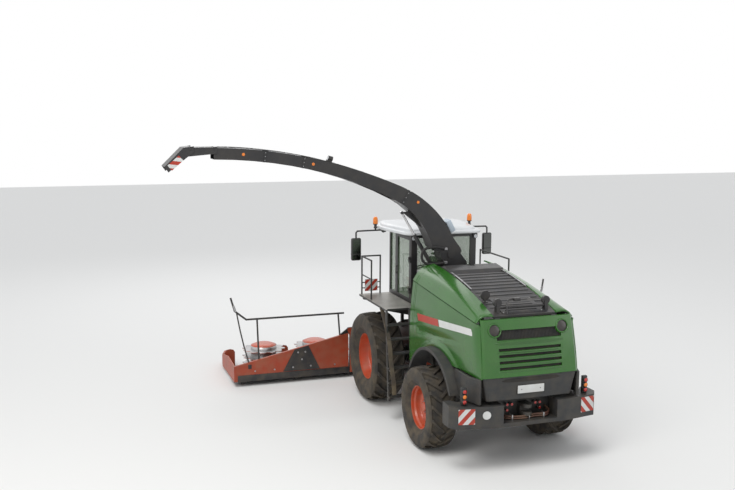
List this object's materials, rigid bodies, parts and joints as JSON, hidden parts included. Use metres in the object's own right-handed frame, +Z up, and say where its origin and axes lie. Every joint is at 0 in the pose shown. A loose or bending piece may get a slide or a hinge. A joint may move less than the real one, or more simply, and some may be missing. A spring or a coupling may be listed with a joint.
{
  "type": "forage harvester",
  "caption": "Self-propelled forage harvester with cab, engine hood, turning discharge spout held out to its left, and a folding rotary maize header in front.",
  "frame": {"origin": "on the ground, at the middle of the outline's box in plan", "axes": "+Z up, along the tow pin; -Y is the driving direction; +X is the machine's left"},
  "size_m": [9.7721, 8.66, 5.5511],
  "materials": {
    "amber_lens": "clear",
    "black_paint": "semi-gloss",
    "dark_plastic": "grained",
    "frame_paint": "satin",
    "glass": "tinted",
    "green_paint": "satin, dusty",
    "interior": "grained",
    "red_lens": "clear",
    "red_paint": "satin, worn",
    "rubber": "dusty",
    "steel": "worn",
    "white_roof": "gloss"
  },
  "bodies": {
    "root": {"chassis": "frame_paint", "front_axle": "frame_paint", "rear_axle": "frame_paint", "engine_block": "frame_paint", "chopping_unit": "frame_paint", "left_platform": "frame_paint", "right_platform": "frame_paint", "cab_body": "dark_plastic", "cab_roof": "white_roof", "cab_glass": "glass", "cab_interior": "interior", "mirrors": "dark_plastic", "roof_lamps": "amber_lens", "hood_frame": "frame_paint", "hood_shoulders": "green_paint", "hood_deck": "black_paint", "spout_rest": "black_paint", "rear_skirt": "dark_plastic", "rear_bumper": "frame_paint", "tail_lamps": "red_lens", "tow_hitch": "steel", "spout_turret": "black_paint"},
    "wheel_front_left": {"rim_front_left": "red_paint", "tyre_front_left": "rubber"},
    "wheel_front_right": {"rim_front_right": "red_paint", "tyre_front_right": "rubber"},
    "wheel_rear_left": {"rim_rear_left": "red_paint", "tyre_rear_left": "rubber"},
    "wheel_rear_right": {"rim_rear_right": "red_paint", "tyre_rear_right": "rubber"},
    "knuckle_left": {"knuckle_left": "frame_paint"},
    "knuckle_right": {"knuckle_right": "frame_paint"},
    "steer_rod": {"steer_rod": "steel"},
    "feeder": {"feeder_house": "frame_paint", "header_frame": "red_paint"},
    "wing_left": {"header_wing_left": "red_paint"},
    "wing_right": {"header_wing_right": "red_paint"},
    "rotor_1": {"rotor_1": "steel"},
    "rotor_2": {"rotor_2": "steel"},
    "rotor_3": {"rotor_3": "steel"},
    "rotor_4": {"rotor_4": "steel"},
    "rotor_5": {"rotor_5": "steel"},
    "rotor_6": {"rotor_6": "steel"},
    "spout_base": {"spout_base": "black_paint"},
    "spout_arm": {"spout_arm": "black_paint"},
    "spout_flap_upper": {"spout_flap_upper": "black_paint"},
    "spout_flap_lower": {"spout_flap_lower": "black_paint"},
    "tilt_barrel": {"tilt_barrel": "black_paint"},
    "tilt_rod": {"tilt_rod": "steel"},
    "cab_door": {"cab_door": "dark_plastic", "cab_door_glass": "glass"},
    "hood_side_left": {"hood_side_left": "green_paint"},
    "hood_side_right": {"hood_side_right": "green_paint"},
    "rear_flap": {"rear_flap": "green_paint", "rear_flap_skirt": "dark_plastic"},
    "lift_barrels": {"lift_barrels": "black_paint"},
    "lift_rods": {"lift_rods": "steel"}
  },
  "joints": [
    {"name": "wheel_front_left_spin", "type": "hinge", "parent": "root", "child": "wheel_front_left", "pos_m": [0.28054, -0.43, 0.94], "axis": [1, 0, 0], "continuous": true},
    {"name": "wheel_front_right_spin", "type": "hinge", "parent": "root", "child": "wheel_front_right", "pos_m": [-2.03946, -0.43, 0.94], "axis": [1, 0, 0], "continuous": true},
    {"name": "steer_left", "type": "hinge", "parent": "root", "child": "knuckle_left", "pos_m": [-0.07946, 2.67, 0.76], "axis": [0, 0, 1], "range_deg": [-38, 38]},
    {"name": "steer_right", "type": "hinge", "parent": "root", "child": "knuckle_right", "pos_m": [-1.67946, 2.67, 0.76], "axis": [0, 0, 1], "range_deg": [-38, 38]},
    {"name": "wheel_rear_left_spin", "type": "hinge", "parent": "knuckle_left", "child": "wheel_rear_left", "pos_m": [0.34054, 2.67, 0.76], "axis": [1, 0, 0], "continuous": true},
    {"name": "wheel_rear_right_spin", "type": "hinge", "parent": "knuckle_right", "child": "wheel_rear_right", "pos_m": [-2.09946, 2.67, 0.76], "axis": [1, 0, 0], "continuous": true},
    {"name": "steer_rod_slide", "type": "slide", "parent": "root", "child": "steer_rod", "axis": [-1, 0, 0], "range_m": [-0.14, 0.14]},
    {"name": "header_lift", "type": "hinge", "parent": "root", "child": "feeder", "pos_m": [-0.87946, -0.55, 1.35], "axis": [-1, 0, 0], "range_deg": [0, 18]},
    {"name": "wing_left_fold", "type": "hinge", "parent": "feeder", "child": "wing_left", "pos_m": [0.39554, -2.05, 1.15], "axis": [0, -1, 0], "range_deg": [0, 90]},
    {"name": "wing_right_fold", "type": "hinge", "parent": "feeder", "child": "wing_right", "pos_m": [-2.15446, -2.05, 1.15], "axis": [0, 1, 0], "range_deg": [0, 90]},
    {"name": "rotor_1_spin", "type": "hinge", "parent": "wing_right", "child": "rotor_1", "pos_m": [-4.00446, -2.85, 0.3], "axis": [0, 0, -1], "continuous": true},
    {"name": "rotor_2_spin", "type": "hinge", "parent": "wing_right", "child": "rotor_2", "pos_m": [-2.75446, -2.85, 0.3], "axis": [0, 0, 1], "continuous": true},
    {"name": "rotor_3_spin", "type": "hinge", "parent": "feeder", "child": "rotor_3", "pos_m": [-1.50446, -2.85, 0.3], "axis": [0, 0, -1], "continuous": true},
    {"name": "rotor_4_spin", "type": "hinge", "parent": "feeder", "child": "rotor_4", "pos_m": [-0.25446, -2.85, 0.3], "axis": [0, 0, 1], "continuous": true},
    {"name": "rotor_5_spin", "type": "hinge", "parent": "wing_left", "child": "rotor_5", "pos_m": [0.99554, -2.85, 0.3], "axis": [0, 0, -1], "continuous": true},
    {"name": "rotor_6_spin", "type": "hinge", "parent": "wing_left", "child": "rotor_6", "pos_m": [2.24554, -2.85, 0.3], "axis": [0, 0, 1], "continuous": true},
    {"name": "spout_turn", "type": "hinge", "parent": "root", "child": "spout_base", "pos_m": [-0.87946, 0.99, 3.06], "axis": [0, 0, 1], "range_deg": [-8, 188]},
    {"name": "spout_tilt", "type": "hinge", "parent": "spout_base", "child": "spout_arm", "pos_m": [-0.72946, 0.99, 3.35], "axis": [0, -1, 0], "range_deg": [-36, 8]},
    {"name": "spout_flap_upper_tilt", "type": "hinge", "parent": "spout_arm", "child": "spout_flap_upper", "pos_m": [3.99879, 0.99, 5.48797], "axis": [0, 1, 0], "range_deg": [-20, 35]},
    {"name": "spout_flap_lower_tilt", "type": "hinge", "parent": "spout_flap_upper", "child": "spout_flap_lower", "pos_m": [4.41881, 0.99, 5.48764], "axis": [0, 1, 0], "range_deg": [-20, 35]},
    {"name": "lift_barrels_tilt", "type": "hinge", "parent": "root", "child": "lift_barrels", "pos_m": [-0.87946, -0.37, 0.64], "axis": [-1, 0, 0], "range_deg": [0, 16.9]},
    {"name": "lift_rods_slide", "type": "slide", "parent": "lift_barrels", "child": "lift_rods", "axis": [0, -0.9903, -0.1391], "range_m": [0, 0.233]},
    {"name": "tilt_barrel_tilt", "type": "hinge", "parent": "spout_base", "child": "tilt_barrel", "pos_m": [-0.35946, 0.99, 3.15], "axis": [0, -1, 0], "range_deg": [-42.5, 10.2]},
    {"name": "tilt_rod_slide", "type": "slide", "parent": "tilt_barrel", "child": "tilt_rod", "axis": [0.5145, 0, 0.8575], "range_m": [-0.251, 0.056]},
    {"name": "cab_door_open", "type": "hinge", "parent": "root", "child": "cab_door", "pos_m": [-0.12746, 0.414, 2.9], "axis": [0, 0, 1], "range_deg": [0, 75]},
    {"name": "hood_side_left_open", "type": "hinge", "parent": "root", "child": "hood_side_left", "pos_m": [0.09122, 1.23, 2.85613], "axis": [0.0158, -0.9956, 0.0929], "range_deg": [0, 75]},
    {"name": "hood_side_right_open", "type": "hinge", "parent": "root", "child": "hood_side_right", "pos_m": [-1.85015, 1.23, 2.85613], "axis": [0.0158, 0.9956, -0.0929], "range_deg": [0, 75]},
    {"name": "rear_flap_open", "type": "hinge", "parent": "root", "child": "rear_flap", "pos_m": [-0.87946, 4.044, 2.664], "axis": [1, 0, 0], "range_deg": [0, 80]}
  ],
  "couplings": [
    {"joint": "steer_right", "follows": "steer_left", "ratio": 1},
    {"joint": "steer_rod_slide", "follows": "steer_left", "m_per_rad": 0.1767},
    {"joint": "lift_barrels_tilt", "follows": "header_lift", "ratio": 0.8673},
    {"joint": "lift_rods_slide", "follows": "header_lift", "m_per_rad": 0.7078},
    {"joint": "tilt_barrel_tilt", "follows": "spout_tilt", "ratio": 1.1194},
    {"joint": "tilt_rod_slide", "follows": "spout_tilt", "m_per_rad": 0.3878},
    {"joint": "spout_flap_lower_tilt", "follows": "spout_flap_upper_tilt", "ratio": 1}
  ]
}
